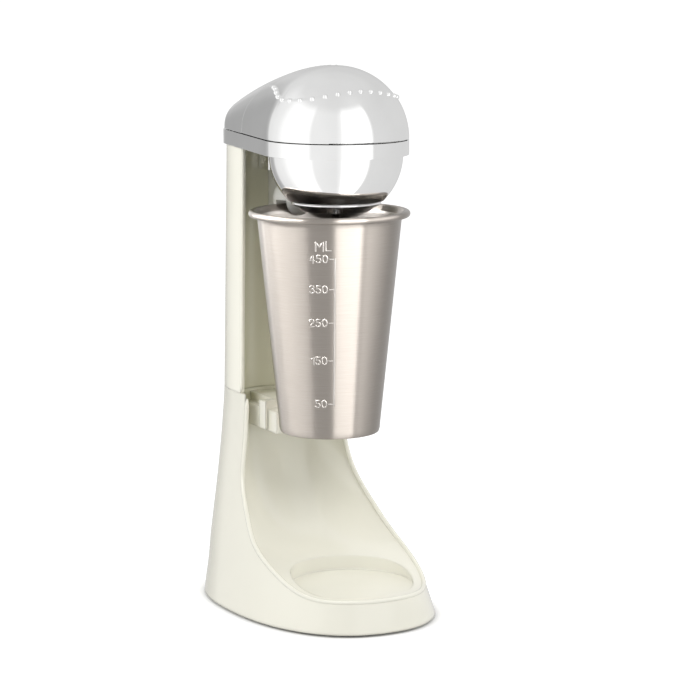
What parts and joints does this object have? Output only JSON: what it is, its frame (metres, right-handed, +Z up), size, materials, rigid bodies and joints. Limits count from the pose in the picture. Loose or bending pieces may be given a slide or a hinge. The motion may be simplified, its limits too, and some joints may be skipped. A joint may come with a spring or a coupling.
{
  "type": "milkshake mixer",
  "caption": "Single-spindle milkshake mixer: scooped plastic stand with tray recess and column, chromed motor head, hanging rod with agitator and a tapered steel mixing cup.",
  "frame": {"origin": "centre of the overall footprint, on the table under the rubber feet", "axes": "+Z up, -Y towards the cup (front), +Y towards the column and cord (back), X across"},
  "size_m": [0.127, 0.2082, 0.3425],
  "materials": {
    "stand_plastic": "cream moulded gloss plastic",
    "base_plastic": "matt moulded plastic",
    "chrome": "mirror chrome plating",
    "cup_steel": "stainless steel, fine brushing round the cup",
    "rod_steel": "polished stainless steel",
    "white_plastic": "white acetal plastic",
    "rubber": "black rubber",
    "zinc_steel": "zinc plated steel",
    "dark_plastic": "black moulded plastic",
    "cable_jacket": "PVC cable jacket",
    "bronze": "sintered bronze",
    "copper": "copper segments",
    "ferrite": "ferrite and lamination steel"
  },
  "bodies": {
    "stand": {"base_housing": "stand_plastic", "base_plate": "base_plastic", "base_plate_screws": "zinc_steel", "rubber_feet": "rubber", "ballast_plate": "zinc_steel", "column_front": "stand_plastic", "column_rear": "stand_plastic", "column_screws": "zinc_steel", "cup_rest": "stand_plastic", "cup_guide": "white_plastic", "head_cover": "chrome", "head_studs": "chrome", "head_lower": "chrome", "head_screws": "zinc_steel", "motor_bowl": "chrome", "bowl_trim_ring": "chrome", "splash_cap": "chrome", "shaft_seal": "rubber", "cup_micro_switch": "dark_plastic", "motor_can": "zinc_steel", "motor_end_cap": "dark_plastic", "lower_bush": "bronze", "upper_bush": "bronze", "field_magnets": "ferrite", "brush_holders": "dark_plastic", "motor_bracket": "zinc_steel", "vibration_grommets": "rubber", "switch_body": "dark_plastic", "wiring_harness": "cable_jacket", "power_cord": "cable_jacket", "strain_relief": "cable_jacket"},
    "rotor": {"motor_armature": "ferrite", "commutator": "copper", "motor_shaft": "rod_steel", "cooling_fan": "dark_plastic", "rod_coupling": "white_plastic", "mixing_rod": "rod_steel", "agitator": "chrome"},
    "rocker": {"switch_rocker": "dark_plastic"},
    "plunger": {"cup_switch_plunger": "white_plastic"},
    "cup": {"mixing_cup": "cup_steel"}
  },
  "joints": [
    {"name": "spindle_spin", "type": "hinge", "parent": "stand", "child": "rotor", "pos_m": [0, -0.0342, 0.25], "axis": [0, 0, 1], "continuous": true},
    {"name": "cup_swing", "type": "hinge", "parent": "stand", "child": "cup", "pos_m": [0, 0.023, 0.2505], "axis": [1, 0, 0], "range_deg": [-9, 0]},
    {"name": "switch_rock", "type": "hinge", "parent": "stand", "child": "rocker", "pos_m": [0, 0.0778, 0.25], "axis": [1, 0, 0], "range_deg": [-10, 10]},
    {"name": "cup_switch_push", "type": "slide", "parent": "stand", "child": "plunger", "axis": [0, 0, 1], "range_m": [0, 0.0018]}
  ]
}
